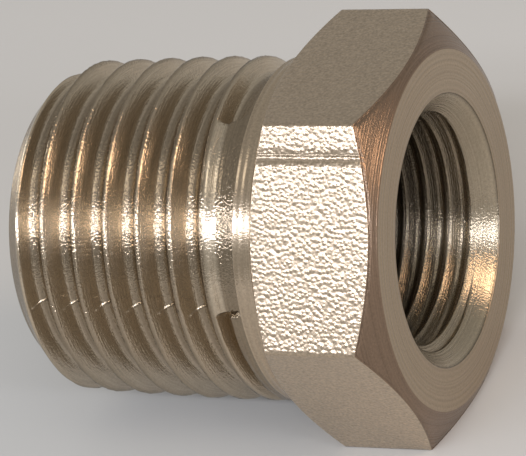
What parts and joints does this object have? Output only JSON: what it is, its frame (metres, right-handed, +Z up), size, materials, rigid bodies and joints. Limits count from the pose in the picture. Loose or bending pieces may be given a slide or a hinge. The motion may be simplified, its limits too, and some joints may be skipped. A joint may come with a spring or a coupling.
{
  "type": "hex reducing bushing",
  "caption": "Hex reducing bushing in nickel-plated brass: male taper pipe thread, hexagonal head with chamfered ends, smaller female pipe thread through the hex face.",
  "frame": {"origin": "where the thread axis crosses the plane of the hex face", "axes": "+X along the thread axis, out of the female port; +Z up, square to one flat of the hexagon, on whose opposite flat the part lies; corners of the hexagon point along +Y and -Y"},
  "size_m": [0.0157, 0.0166, 0.0142],
  "materials": {
    "nickel_plated_brass": "turned hexagonal brass bar with a thin satin nickel plating"
  },
  "bodies": {
    "root": {"hex_bushing": "nickel_plated_brass"}
  },
  "joints": []
}
